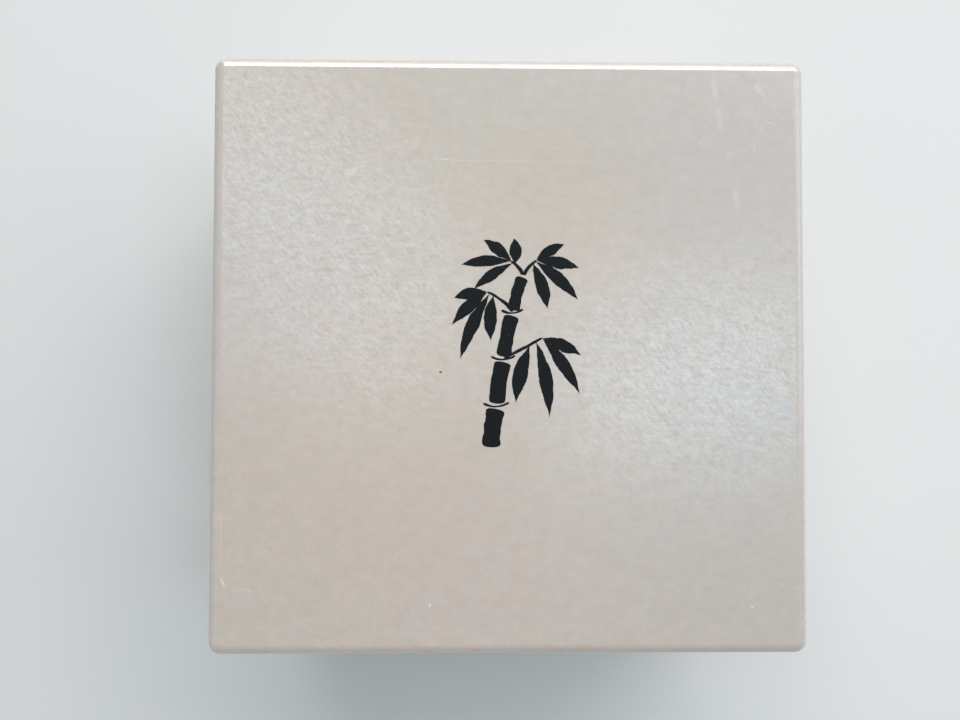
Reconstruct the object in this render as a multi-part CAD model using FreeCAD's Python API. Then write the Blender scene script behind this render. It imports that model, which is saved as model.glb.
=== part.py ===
"""Square wooden piece box for a shogi set: a mitred base with an upright inner lining, and a lift-off lid.

The base is four mitred walls round a floor panel that is held in a groove. Four thin lining strips stand on
the floor inside the walls and rise above the rim, so that the lid, which is flush with the base outside,
drops over them. The lid is four mitred walls under one top panel. Loose tongues lock every mitre.

The frame has its origin at the middle of the underside, +Z up, with the front wall towards -Y.
All sizes are in millimetres.
"""

import FreeCAD, Part

import math
import os

# Overall sizes
OUTER_SIDE = 120.0
BOX_HEIGHT = 75.0
BASE_HEIGHT = 31.0

# Walls
WALL_THICKNESS = 7.0
CORNER_RADIUS = 2.5
RIM_RADIUS = 0.5
FOOT_RADIUS = 1.0

# Lid
LID_CLEARANCE = 0.25
LID_MOUTH_RADIUS = 0.8
TOP_PANEL_THICKNESS = 6.0
TOP_EDGE_RADIUS = 2.4
SPIGOT_DEPTH = 2.0
SPIGOT_CLEARANCE = 0.1
SPIGOT_CHAMFER = 0.4

# Floor panel in its groove
FLOOR_THICKNESS = 4.0
FLOOR_RECESS = 2.0
GROOVE_DEPTH = 3.0
FLOOR_EDGE_CLEARANCE = 0.3

# Lining strips
LINING_THICKNESS = 3.0
LINING_RISE = 12.0
LINING_LEAD_RADIUS = 1.2
LINING_INNER_RADIUS = 0.6
LINING_CORNER_RADIUS = 0.8

# Loose tongues in the mitres
TONGUE_THICKNESS = 1.6
TONGUE_WIDTH = 6.0
TONGUE_INSET = 3.6
TONGUE_END_MARGIN = 2.5
TONGUE_END_CLEARANCE = 0.1

# Places worked out from the sizes
WALL_TOP = BOX_HEIGHT - TOP_PANEL_THICKNESS
BASE_INNER_SIDE = OUTER_SIDE - 2 * WALL_THICKNESS
LID_WALL_THICKNESS = WALL_THICKNESS - LID_CLEARANCE
LID_INNER_SIDE = OUTER_SIDE - 2 * LID_WALL_THICKNESS
FLOOR_TOP = FLOOR_RECESS + FLOOR_THICKNESS
LINING_TOP = BASE_HEIGHT + LINING_RISE

# Sides and corners in turn, from +X towards +Y, each a quarter turn after the one before
SIDES = ("right", "back", "left", "front")
CORNERS = ("back_right", "back_left", "front_left", "front_right")
QUARTER_TURN_DEGREES = 90.0

Z_AXIS = FreeCAD.Vector(0, 0, 1)
ORIGIN = FreeCAD.Vector(0, 0, 0)
FLAT = 1e-6


def side_degrees():
    """Each side with the angle that it lies at, seen from above."""
    return {side: step * QUARTER_TURN_DEGREES for step, side in enumerate(SIDES)}


def corner_degrees():
    """Each corner with its angle, half way between the two sides that meet there."""
    return {corner: (step + 1 / 2) * QUARTER_TURN_DEGREES for step, corner in enumerate(CORNERS)}


def turned(shape, degrees):
    """A copy of the shape, turned about the Z axis."""
    copy = shape.copy()
    copy.rotate(ORIGIN, Z_AXIS, degrees)
    return copy


def square_block(side, low_z, high_z, corner_radius=0.0):
    """A square block centred on the Z axis, with its four upright edges rounded."""
    corner = FreeCAD.Vector(-side / 2, -side / 2, low_z)
    block = Part.makeBox(side, side, high_z - low_z, corner)
    if corner_radius <= 0:
        return block
    uprights = [e for e in block.Edges if abs(e.BoundBox.ZLength - (high_z - low_z)) < FLAT]
    return block.makeFillet(corner_radius, uprights)


def edges_at(shape, z, within_side=None):
    """The edges that lie flat at one height, and inside a centred square when one is given."""
    found = [e for e in shape.Edges if e.BoundBox.ZLength < FLAT and abs(e.BoundBox.ZMin - z) < FLAT]
    if within_side is None:
        return found
    reach = within_side / 2 + FLAT
    return [e for e in found if max(abs(e.BoundBox.XMin), abs(e.BoundBox.XMax)) < reach
            and max(abs(e.BoundBox.YMin), abs(e.BoundBox.YMax)) < reach]


def rounded_at(shape, z, radius, within_side=None):
    """The shape with the edges at one height rounded."""
    return shape.makeFillet(radius, edges_at(shape, z, within_side))


def mitre_wedge(degrees):
    """A prism that holds one side of the box, out to the two mitre planes beside it."""
    reach = OUTER_SIDE
    outline = Part.makePolygon([
        ORIGIN,
        FreeCAD.Vector(reach, -reach, 0),
        FreeCAD.Vector(reach, reach, 0),
        ORIGIN,
    ])
    prism = Part.Face(outline).extrude(Z_AXIS * (BOX_HEIGHT + 2))
    prism.translate(FreeCAD.Vector(0, 0, -1))
    return turned(prism, degrees)


def mitred(frame, name_of_side):
    """Cuts a square frame into its four mitred sides, named by name_of_side."""
    turns = side_degrees()
    return {name_of_side.format(side): frame.common(mitre_wedge(turns[side])) for side in SIDES}


def tongue_blank(inner_side, low_z, high_z, clearance=0.0):
    """One loose tongue, across the mitre of the corner that lies along +X before it is turned."""
    inner_corner = inner_side / 2 * math.sqrt(2)
    half_width = TONGUE_WIDTH / 2 + clearance
    corner = FreeCAD.Vector(
        inner_corner + TONGUE_INSET - TONGUE_THICKNESS / 2,
        -half_width,
        low_z - clearance,
    )
    return Part.makeBox(TONGUE_THICKNESS, 2 * half_width, high_z - low_z + 2 * clearance, corner)


def tongues(inner_side, low_z, high_z, name_of_corner):
    """The four tongues of one frame, named by name_of_corner."""
    blank = tongue_blank(inner_side, low_z, high_z)
    turns = corner_degrees()
    return {name_of_corner.format(corner): turned(blank, turns[corner]) for corner in CORNERS}


def slotted(frame, inner_side, low_z, high_z):
    """The frame with the four slots that its tongues sit in."""
    slot = tongue_blank(inner_side, low_z, high_z, TONGUE_END_CLEARANCE)
    return frame.cut([turned(slot, degrees) for degrees in corner_degrees().values()])


def base_walls():
    """The four base walls, grooved for the floor, and the tongues in their mitres."""
    block = square_block(OUTER_SIDE, 0, BASE_HEIGHT, CORNER_RADIUS)
    block = rounded_at(block, BASE_HEIGHT, RIM_RADIUS)
    block = rounded_at(block, 0, FOOT_RADIUS)
    frame = block.cut(square_block(BASE_INNER_SIDE, -1, BASE_HEIGHT + 1))
    groove_side = BASE_INNER_SIDE + 2 * GROOVE_DEPTH
    frame = frame.cut(square_block(groove_side, FLOOR_RECESS, FLOOR_TOP))
    low_z = FLOOR_TOP + TONGUE_END_MARGIN
    high_z = BASE_HEIGHT - TONGUE_END_MARGIN
    frame = slotted(frame, BASE_INNER_SIDE, low_z, high_z)
    walls = mitred(frame, "base_{}_wall")
    return walls | tongues(BASE_INNER_SIDE, low_z, high_z, "base_{}_tongue")


def floor_panel():
    """The floor, loose in its groove at the edges, so that the wood can move."""
    side = BASE_INNER_SIDE + 2 * (GROOVE_DEPTH - FLOOR_EDGE_CLEARANCE)
    return {"floor_panel": square_block(side, FLOOR_RECESS, FLOOR_TOP)}


def lining_strips():
    """The four strips inside the base walls, which rise above the rim and guide the lid."""
    inner_side = BASE_INNER_SIDE - 2 * LINING_THICKNESS
    block = square_block(BASE_INNER_SIDE, FLOOR_TOP, LINING_TOP, LINING_CORNER_RADIUS)
    block = rounded_at(block, LINING_TOP, LINING_LEAD_RADIUS)
    frame = block.cut(square_block(inner_side, FLOOR_TOP - 1, LINING_TOP + 1))
    frame = rounded_at(frame, LINING_TOP, LINING_INNER_RADIUS, within_side=inner_side)
    return mitred(frame, "lining_{}")


def lid_walls():
    """The four lid walls and the tongues in their mitres."""
    block = square_block(OUTER_SIDE, BASE_HEIGHT, WALL_TOP, CORNER_RADIUS)
    block = rounded_at(block, BASE_HEIGHT, RIM_RADIUS)
    frame = block.cut(square_block(LID_INNER_SIDE, BASE_HEIGHT - 1, WALL_TOP + 1))
    frame = rounded_at(frame, BASE_HEIGHT, LID_MOUTH_RADIUS, within_side=LID_INNER_SIDE)
    low_z = BASE_HEIGHT + TONGUE_END_MARGIN
    high_z = WALL_TOP - TONGUE_END_MARGIN
    frame = slotted(frame, LID_INNER_SIDE, low_z, high_z)
    walls = mitred(frame, "lid_{}_wall")
    return walls | tongues(LID_INNER_SIDE, low_z, high_z, "lid_{}_tongue")


def lid_top_panel():
    """The top panel, which lies over the lid walls and drops between them with a shallow spigot."""
    panel = square_block(OUTER_SIDE, WALL_TOP, BOX_HEIGHT, CORNER_RADIUS)
    panel = rounded_at(panel, BOX_HEIGHT, TOP_EDGE_RADIUS)
    spigot_bottom = WALL_TOP - SPIGOT_DEPTH
    spigot = square_block(LID_INNER_SIDE - 2 * SPIGOT_CLEARANCE, spigot_bottom, WALL_TOP)
    spigot = spigot.makeChamfer(SPIGOT_CHAMFER, edges_at(spigot, spigot_bottom))
    return {"lid_top_panel": panel.fuse(spigot).removeSplitter()}


def main():
    """Builds every sub-part and writes each to its own file."""
    os.makedirs("parts", exist_ok=True)
    parts = base_walls() | floor_panel() | lining_strips() | lid_walls() | lid_top_panel()
    for name, shape in parts.items():
        solids = shape.Solids
        if len(solids) != 1 or not shape.isValid():
            raise ValueError(f"{name} has {len(solids)} solids, valid: {shape.isValid()}")
        solids[0].exportStep(f"parts/{name}.step")
    total = sum(shape.Volume for shape in parts.values())
    print(f"{len(parts)} sub-parts, {total / 1000:.1f} cubic centimetres of wood")


main()
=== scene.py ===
"""Square shogi piece box in pale satin-lacquered wood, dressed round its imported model.

The base is four mitred walls round a floor, with a thin lining standing inside them. The lid is four mitred
walls under one overlaid top with rounded edges, and a brush-ink bamboo sprig in the middle of it. Every board
is modelled here with its eased edges, glue lines and tongue slots. The loose tongues stay as packed.

Lengths are metres, and MM turns millimetres into them. The frame has its origin at the middle of the
underside, +Z up, with the front wall towards -Y.
"""

import logging
import math
from collections.abc import Callable, Iterable
from dataclasses import dataclass
from enum import Enum

import bmesh
import bpy
from mathutils import Euler, Matrix, Vector, noise

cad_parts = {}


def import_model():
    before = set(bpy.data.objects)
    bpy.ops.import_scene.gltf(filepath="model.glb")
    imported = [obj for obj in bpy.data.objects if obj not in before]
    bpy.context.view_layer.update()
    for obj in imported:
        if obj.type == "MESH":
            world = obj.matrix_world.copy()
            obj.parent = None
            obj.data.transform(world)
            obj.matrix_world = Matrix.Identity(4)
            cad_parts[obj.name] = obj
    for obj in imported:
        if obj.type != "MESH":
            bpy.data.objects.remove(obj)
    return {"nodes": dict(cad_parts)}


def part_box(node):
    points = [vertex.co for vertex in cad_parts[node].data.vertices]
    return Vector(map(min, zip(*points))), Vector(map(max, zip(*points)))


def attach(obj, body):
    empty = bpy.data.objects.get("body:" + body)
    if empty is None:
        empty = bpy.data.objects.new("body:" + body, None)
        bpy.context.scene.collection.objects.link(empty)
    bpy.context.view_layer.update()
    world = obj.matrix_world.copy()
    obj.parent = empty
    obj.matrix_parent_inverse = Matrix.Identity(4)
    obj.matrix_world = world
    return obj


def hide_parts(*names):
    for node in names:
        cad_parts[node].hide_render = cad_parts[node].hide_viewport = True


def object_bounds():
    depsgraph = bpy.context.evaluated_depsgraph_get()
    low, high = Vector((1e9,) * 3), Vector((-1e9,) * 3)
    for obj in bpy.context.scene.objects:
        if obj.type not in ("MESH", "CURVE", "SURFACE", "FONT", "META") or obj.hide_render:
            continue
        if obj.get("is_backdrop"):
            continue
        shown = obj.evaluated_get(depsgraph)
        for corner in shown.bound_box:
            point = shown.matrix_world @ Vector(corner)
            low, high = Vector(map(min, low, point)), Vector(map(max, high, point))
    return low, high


Colour = tuple[float, float, float]
Point = tuple[float, float]
Span = tuple[float, float]
Socket = bpy.types.NodeSocket

MM = 0.001
TOLERANCE = 1e-6

# Sizes of the box
TOP_HEIGHT = 75.0 * MM
CORNER_RADIUS = 2.5 * MM
RIM_RADIUS = 0.5 * MM
FOOT_RADIUS = 1.0 * MM
LID_MOUTH_RADIUS = 0.8 * MM
GROOVE_DEPTH = 3.0 * MM
SPIGOT_CLEARANCE = 0.1 * MM

# How finely roundings are cut
CORNER_SEGMENTS = 12
RIM_SEGMENTS = 6
EASED_SEGMENTS = 3

# The angles from which an edge is eased, and shaded as sharp
EASED_ANGLE = math.radians(30)
SHARP_ANGLE = math.radians(40)

# How much of a direction a face's normal holds where it looks that way, and where it looks straight that way
SLANT = 0.3
STRAIGHT = 0.999

BACKWARD = Vector((0, 1, 0))
UPWARD = Vector((0, 0, 1))

# Lengths of the wood's features along, across and through a board, in millimetres
SEASON_SIZE = (260.0, 8.0, 8.0)
WANDER_SIZE = (230.0, 60.0, 60.0)
CLOUD_SIZE = (42.0, 17.0, 17.0)
DULLNESS_SIZE = (14.0, 6.0, 6.0)
FIBRE_SIZE = (9.0, 0.30, 0.30)
WARMTH_SIZE = (5.0, 4.2, 5.0)
MOTTLE_SIZE = (2.6, 2.0, 2.4)
PORE_SIZE = (1.7, 0.24, 0.24)
CRUMBLE_SIZE = (0.7, 0.5, 0.6)
SPECK_SIZE = (0.55, 0.42, 0.5)

# The marks of rubbing down, by size in millimetres, turn from the grain in degrees and strength
RUBBING = (
    ((2.2, 0.38, 0.38), 0.0, 1.1),
    ((1.5, 0.36, 0.36), -50.0, 1.5),
    ((1.5, 0.36, 0.36), 60.0, 0.7),
)

SPECK_COLOUR = (0.80, 0.79, 0.77)
END_GRAIN_TINT = (0.95, 0.95, 0.96)
END_GRAIN_FADE_MM = 1.2
PORE_DEPTH = 0.5
LATE_WOOD_POWER = 3.0
CRUMBLE_STRENGTH = 0.8
LOG_STRIDE = 31.0
SCUFF_ROUGHNESS = 0.15
LACQUER_INDEX = 1.5
LEAST_SHEEN = 0.05

# The Mix node's sockets for colours, whose names other types share
MIX_FACTOR, MIX_FIRST, MIX_SECOND = 0, 6, 7
MIX_RESULT = 2

# The brush: a leaf's fullness towards root and tip and its peak, and the depth and pace of ragged outlines
LEAF_ROOT_POWER, LEAF_TIP_POWER = 1.35, 1.30
LEAF_PEAK = 0.1596
RAGGEDNESS = ((0.20, 0.7), (0.07, 2.4), (0.035, 6.0))
RAGGED_FROM_HALF_WIDTH = 0.5
STROKE_SEED, SIDE_SEED = 11.0, 7.0
BLUNT_POWER, JOINT_BLUNT_POWER = 14, 6

log = logging.getLogger("piece box")


class Side(Enum):
    """The four sides of the box, each with its turn from the front in degrees."""

    FRONT = 0
    RIGHT = 90
    BACK = 180
    LEFT = 270

    @property
    def label(self) -> str:
        """The side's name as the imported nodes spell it."""
        return self.name.lower()

    @property
    def turn(self) -> Matrix:
        """The rotation that takes a board from the front to this side."""
        return Matrix.Rotation(math.radians(self.value), 4, "Z")


class Grain(Enum):
    """The direction that a board's grain runs in, as a turn that lays it along the pattern's X axis."""

    ALONG_X = 0.0
    ALONG_Y = -90.0


class Tone(Enum):
    """How a mark of wear shows on the lacquer, as its colour."""

    PALE = (0.74, 0.73, 0.71)
    DARK = (0.06, 0.05, 0.045)


class Pull(Enum):
    """The kinds of pull that a brush makes."""

    STEM = 1
    JOINT = 2
    TWIG = 3
    LEAF = 4


class NodeGraph:
    """The nodes of one material or world, added one by one and linked as they are made."""

    def __init__(self, holder: bpy.types.Material | bpy.types.World) -> None:
        """Starts an empty graph.

        Args:
            holder: The new material or world.
        """
        self.holder = holder
        holder.use_nodes = True
        self.tree = holder.node_tree
        self.tree.nodes.clear()

    def add(self, kind: str, inputs: dict | None = None, **settings: object) -> bpy.types.Node:
        """Adds a node.

        Args:
            kind: The node's type name.
            inputs: Values or sockets by input name or index.
            **settings: Properties of the node.

        Returns:
            The new node.
        """
        node = self.tree.nodes.new(kind)
        for name, value in settings.items():
            setattr(node, name, value)
        for key, value in (inputs or {}).items():
            if isinstance(value, Socket):
                self.tree.links.new(value, node.inputs[key])
            else:
                node.inputs[key].default_value = value
        return node

    def object_mm(self) -> Socket:
        """The point on the object, in millimetres."""
        coordinates = self.add("ShaderNodeTexCoord").outputs["Object"]
        return self.vector("SCALE", coordinates, scale=1 / MM)

    def parts(self, vector: Socket) -> dict[str, Socket]:
        """A vector's three parts by the letter of their axis."""
        return dict(self.add("ShaderNodeSeparateXYZ", {0: vector}).outputs.items())

    def facing(self) -> dict[str, Socket]:
        """The parts of the surface's normal on the object."""
        return self.parts(self.add("ShaderNodeTexCoord").outputs["Normal"])

    def math(self, operation: str, *values: Socket | float) -> Socket:
        """One Math node's result."""
        return self.add("ShaderNodeMath", dict(enumerate(values)), operation=operation).outputs[0]

    def vector(self, operation: str, *values: Socket | tuple, scale: float | None = None) -> Socket:
        """One Vector Math node's result.

        Args:
            operation: The node's operation.
            *values: Its vectors.
            scale: The factor of a SCALE operation.

        Returns:
            The value of a length, and otherwise the vector.
        """
        inputs = dict(enumerate(values))
        if scale is not None:
            inputs["Scale"] = scale
        node = self.add("ShaderNodeVectorMath", inputs, operation=operation)
        return node.outputs["Value" if operation == "LENGTH" else "Vector"]

    def placed(self, point: Socket, scale: tuple, turn: float = 0.0) -> Socket:
        """The point turned about Z, then scaled along each axis.

        Args:
            point: The point.
            scale: The factor along X, Y and Z.
            turn: The turn in degrees.

        Returns:
            The new point.
        """
        angle = (0.0, 0.0, math.radians(turn))
        turned = self.add("ShaderNodeMapping", {"Vector": point, "Rotation": angle}).outputs["Vector"]
        return self.vector("MULTIPLY", turned, scale)

    def noise(self, point: Socket, size: tuple, detail: float = 2.0, rough: float = 0.5,
              turn: float = 0.0) -> Socket:
        """Noise whose features have a given size.

        Args:
            point: The point in millimetres.
            size: The features' length along X, Y and Z in millimetres.
            detail: Octaves of finer noise.
            rough: How strong the finer octaves are.
            turn: Degrees that the features' length is turned about Z.

        Returns:
            A value about 0.5.
        """
        at = self.placed(point, tuple(1 / s for s in size), -turn)
        inputs = {"Vector": at, "Scale": 1.0, "Detail": detail, "Roughness": rough}
        return self.add("ShaderNodeTexNoise", inputs, normalize=True).outputs[0]

    def step(self, value: Socket, low: float, high: float) -> Socket:
        """A smooth step from 0 at low to 1 at high."""
        inputs = {"Value": value, "From Min": low, "From Max": high}
        return self.add("ShaderNodeMapRange", inputs, interpolation_type="SMOOTHSTEP").outputs[0]

    def spot(self, point: Socket, centre: tuple, size: tuple, turn: float = 0.0) -> Socket:
        """A soft ellipsoid, 1 in the middle and 0 at its rim.

        Args:
            point: The point in millimetres.
            centre: The middle in millimetres.
            size: Half the length along each axis, in millimetres.
            turn: Degrees that it is turned about Z.

        Returns:
            The mask.
        """
        angle = (0.0, 0.0, math.radians(turn))
        inputs = {"Vector": point, "Location": centre, "Rotation": angle, "Scale": size}
        local = self.add("ShaderNodeMapping", inputs, vector_type="TEXTURE").outputs["Vector"]
        return self.add("ShaderNodeTexGradient", {"Vector": local}, gradient_type="SPHERICAL").outputs["Fac"]

    def mix(self, factor: Socket | float, first: Socket | Colour, second: Socket | Colour,
            how: str = "MIX") -> Socket:
        """Two colours mixed, the second over the first.

        Args:
            factor: How much of the second shows.
            first: The colour below.
            second: The colour above.
            how: The way that they blend.

        Returns:
            The mixed colour.
        """
        first, second = (c if isinstance(c, Socket) else (*c, 1.0) for c in (first, second))
        inputs = {MIX_FACTOR: factor, MIX_FIRST: first, MIX_SECOND: second}
        return self.add("ShaderNodeMix", inputs, data_type="RGBA", blend_type=how).outputs[MIX_RESULT]

    def tinted(self, colour: Socket, tint: Colour) -> Socket:
        """A colour times a tint."""
        return self.mix(1.0, colour, tint, "MULTIPLY")

    def total(self, *parts: tuple[Socket, float]) -> Socket:
        """The sum of several values about 0.5, made a value about zero.

        Args:
            *parts: The values, each with its strength.

        Returns:
            The sum.
        """
        result: Socket | float = 0.0
        for value, strength in parts:
            centred = self.math("SUBTRACT", value, 0.5)
            result = self.math("MULTIPLY_ADD", centred, strength, result)
        return result

    def relief(self, height: Socket, depth_mm: float) -> Socket:
        """The surface's normal over a relief of a depth in millimetres."""
        inputs = {"Strength": 1.0, "Distance": depth_mm * MM, "Height": height}
        return self.add("ShaderNodeBump", inputs).outputs["Normal"]

    def show(self, shader: bpy.types.Node) -> bpy.types.Material | bpy.types.World:
        """Ends the graph with a shader.

        Args:
            shader: The shader's node.

        Returns:
            The material or world.
        """
        kind = "World" if isinstance(self.holder, bpy.types.World) else "Material"
        self.add(f"ShaderNodeOutput{kind}", {"Surface": shader.outputs[0]})
        return self.holder


@dataclass(frozen=True)
class WearMark:
    """One scratch, scuff or speck on the lid's top, in millimetres from the lid's middle."""

    x: float
    y: float
    length: float
    width: float
    turn: float = 0.0
    strength: float = 0.6
    tone: Tone = Tone.PALE


@dataclass(frozen=True)
class Toning:
    """A broad soft patch that tints the lid's top, in millimetres from the lid's middle; the lid's bluer
    patches are painted reflection and its darker one is painted shade.
    """

    x: float
    y: float
    reach: float
    tint: Colour


@dataclass(frozen=True)
class EdgePolishAndPaintedReflection:
    """How hands have polished a board's back and right upper rounded edges, with painted bluish reflection on
    the left one.

    sheen, smoothing and index are what full polish adds to the specular level, takes from the roughness and
    adds to the index of refraction. Each span holds the least and the full part of the surface's normal that
    looks one way, between which a change sets in.
    """

    sheen: float = 0.8
    smoothing: float = 0.02
    index: float = 0.40
    back_span: Span = (0.03, 0.14)
    right_span: Span = (0.15, 0.7)
    polished_up_span: Span = (0.1, 0.5)
    # The left edge's paler bluish tint is painted reflection, where the normal looks left and a little up
    painted_reflection_tint: Colour = (1.08, 1.11, 1.16)
    painted_reflection_span: Span = (0.05, 0.3)
    painted_reflection_up_span: Span = (0.5, 0.8)

    def polish(self, graph: NodeGraph) -> Socket:
        """How far the back and right edges are polished.

        Args:
            graph: The material's nodes.

        Returns:
            The mask.
        """
        facing = graph.facing()
        backward = graph.step(facing["Y"], *self.back_span)
        rightward = graph.step(facing["X"], *self.right_span)
        polished = graph.math("MAXIMUM", backward, rightward)
        return graph.math("MULTIPLY", polished, graph.step(facing["Z"], *self.polished_up_span))

    def painted_reflection(self, graph: NodeGraph) -> Socket:
        """How far the left edge gets the painted reflection, a paler bluish tint.

        Args:
            graph: The material's nodes.

        Returns:
            The mask.
        """
        facing = graph.facing()
        leftward = graph.step(graph.math("MULTIPLY", facing["X"], -1.0), *self.painted_reflection_span)
        return graph.math("MULTIPLY", leftward, graph.step(facing["Z"], *self.painted_reflection_up_span))


@dataclass(frozen=True)
class BoardCut:
    """How one board was sawn from the log, which sets how its rings run.

    grain is the board's direction. pith is where the log's heart lies across the board, in the pattern's own
    Y and Z and in millimetres. shift moves the whole pattern, so that no two boards are alike.
    """

    grain: Grain
    pith: Point
    shift: tuple[float, float, float] = (0.0, 0.0, 0.0)

    def next_board(self) -> "BoardCut":
        """Another board with the same direction, from elsewhere in the log."""
        shift = (self.shift[2] * LOG_STRIDE, 0.0, self.shift[0])
        return BoardCut(self.grain, (self.pith[1], self.pith[0]), shift)


class BoardGraph(NodeGraph):
    """The nodes of one board's material.

    place is the point on the object, and along is the same with the grain along X, both in millimetres.
    """

    def __init__(self, name: str, cut: BoardCut) -> None:
        """Starts the board's material.

        Args:
            name: The material's name.
            cut: How the board was sawn.
        """
        super().__init__(bpy.data.materials.new(name))
        self.cut = cut
        self.place = self.object_mm()
        turned = self.placed(self.place, (1.0, 1.0, 1.0), cut.grain.value)
        self.along = self.vector("ADD", turned, cut.shift)


@dataclass(frozen=True)
class WoodFinish:
    """One finish of the pale close-grained wood, with or without its lacquer."""

    pale: Colour
    deep: Colour
    blush: Colour = (1.014, 0.993, 0.975)
    cool: Colour = (0.990, 1.002, 1.014)
    ring_spacing: float = 2.3
    ring_wander: float = 13.0
    ring_spread: float = 5.0
    ring_strength: float = 0.10
    fibre_strength: float = 0.16
    fleck_strength: float = 0.10
    cloud_strength: float = 0.14
    mottle_strength: float = 0.10
    roughness: float = 0.40
    roughness_spread: float = 0.10
    relief_mm: float = 0.0035
    specular: float = 0.5
    sheen_spread: float = 0.0
    sheen_lean: float = 0.0
    lean_span: Span = (-5.0, 30.0)
    speck_strength: float = 0.0
    end_grain_from: float | None = None
    # Edge polish, and painted reflection on the left edge
    edge_polish_and_painted_reflection: EdgePolishAndPaintedReflection | None = None
    # Tint patches, among them painted reflection and painted shade
    toning: tuple[Toning, ...] = ()
    wear: tuple[WearMark, ...] = ()

    def material(self, name: str, cut: BoardCut) -> bpy.types.Material:
        """The finish on one board.

        Args:
            name: The material's name.
            cut: How the board was sawn.

        Returns:
            The material.
        """
        graph = BoardGraph(name, cut)
        pores = graph.step(graph.noise(graph.along, PORE_SIZE, detail=1.0), low=0.60, high=0.74)
        colour = self._tints_specks_and_end_grain(graph, self._wood_colour(graph, pores))
        scuff, colour = self._worn(graph, colour)
        rubbed = self._rubbed(graph)
        dull = graph.math("SUBTRACT", graph.noise(graph.along, DULLNESS_SIZE, detail=3.0), 0.5)
        rough = graph.math("MULTIPLY_ADD", dull, self.roughness_spread, self.roughness)
        rough = graph.math("MULTIPLY_ADD", scuff, SCUFF_ROUGHNESS, rough)
        sheen = self._sheen(graph, rubbed)
        index: Socket | float = LACQUER_INDEX
        if self.edge_polish_and_painted_reflection:
            polish = self.edge_polish_and_painted_reflection.polish(graph)
            # Painted reflection: the left rounded edge is tinted paler and bluer
            painted_reflection = graph.tinted(colour, self.edge_polish_and_painted_reflection.painted_reflection_tint)
            colour = graph.mix(self.edge_polish_and_painted_reflection.painted_reflection(graph), colour, painted_reflection)
            sheen = graph.math("MULTIPLY_ADD", polish, self.edge_polish_and_painted_reflection.sheen, sheen)
            rough = graph.math("MULTIPLY_ADD", polish, -self.edge_polish_and_painted_reflection.smoothing, rough)
            index = graph.math("MULTIPLY_ADD", polish, self.edge_polish_and_painted_reflection.index, index)
        inputs = {
            "Base Color": colour,
            "Roughness": rough,
            "IOR": index,
            "Normal": graph.relief(graph.math("MULTIPLY_ADD", pores, -PORE_DEPTH, rubbed), self.relief_mm),
            "Specular IOR Level": sheen,
        }
        return graph.show(graph.add("ShaderNodeBsdfPrincipled", inputs))

    def _rings(self, graph: BoardGraph) -> Socket:
        """Growth rings about the log's heart, wandering a little along the board.

        Args:
            graph: The board's nodes.

        Returns:
            1 in early wood, and less in late wood.
        """
        wander = graph.noise(graph.along, WANDER_SIZE, detail=3.0, rough=0.42)
        heart = graph.vector("SUBTRACT", graph.along, (0.0, *graph.cut.pith))
        radius = graph.vector("LENGTH", graph.vector("MULTIPLY", heart, (0.0, 1.0, 1.0)))
        radius = graph.math("MULTIPLY_ADD", wander, self.ring_wander, radius)
        seasons = graph.noise(graph.along, SEASON_SIZE)
        radius = graph.math("MULTIPLY_ADD", seasons, self.ring_spread, radius)
        wave = graph.math("SINE", graph.math("MULTIPLY", radius, 2 * math.pi / self.ring_spacing))
        half = graph.math("MULTIPLY_ADD", wave, 0.5, 0.5)
        late = graph.math("POWER", half, LATE_WOOD_POWER)
        dark = graph.math("MULTIPLY", late, graph.step(seasons, low=0.25, high=0.7))
        return graph.math("SUBTRACT", 1.0, dark)

    def _wood_colour(self, graph: BoardGraph, pores: Socket) -> Socket:
        """The wood's own colour.

        Args:
            graph: The board's nodes.
            pores: The mask of pores.

        Returns:
            The colour.
        """
        total = graph.total(
            (self._rings(graph), self.ring_strength),
            (graph.noise(graph.along, FIBRE_SIZE, detail=4.0, rough=0.62), self.fibre_strength),
            (graph.noise(graph.along, CLOUD_SIZE, detail=3.0), self.cloud_strength),
            (graph.noise(graph.place, MOTTLE_SIZE), self.mottle_strength),
        )
        tone = graph.math("ADD", total, 0.5)
        tone = graph.math("MULTIPLY_ADD", pores, -self.fleck_strength, tone)
        colour = graph.mix(tone, self.deep, self.pale)
        warmth = graph.noise(graph.place, WARMTH_SIZE, detail=4.0, rough=0.6)
        warmth = graph.step(warmth, low=0.35, high=0.65)
        return graph.mix(warmth, graph.tinted(colour, self.cool), graph.tinted(colour, self.blush))

    def _tints_specks_and_end_grain(self, graph: BoardGraph, colour: Socket) -> Socket:
        """Lays the tint patches, with their painted reflection and painted shade, the fine specks and the
        darker end grain over the colour.

        Args:
            graph: The board's nodes.
            colour: The wood's own colour.

        Returns:
            The colour with them.
        """
        # Tint patches: the lid's bluer ones are painted reflection, and its darker one is painted shade
        for patch in self.toning:
            soft = graph.spot(graph.place, (patch.x, patch.y, TOP_HEIGHT / MM), (patch.reach,) * 3)
            soft = graph.step(soft, low=0.0, high=0.8)
            colour = graph.mix(soft, colour, graph.tinted(colour, patch.tint))
        specks = graph.step(graph.noise(graph.place, SPECK_SIZE, detail=1.0), low=0.66, high=0.78)
        colour = graph.mix(graph.math("MULTIPLY", specks, self.speck_strength), colour, SPECK_COLOUR)
        if self.end_grain_from is None:
            return colour
        across = graph.parts(graph.vector("ABSOLUTE", graph.place))["X"]
        ends = graph.step(across, self.end_grain_from, self.end_grain_from + END_GRAIN_FADE_MM)
        return graph.mix(ends, colour, graph.tinted(colour, END_GRAIN_TINT))

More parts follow.
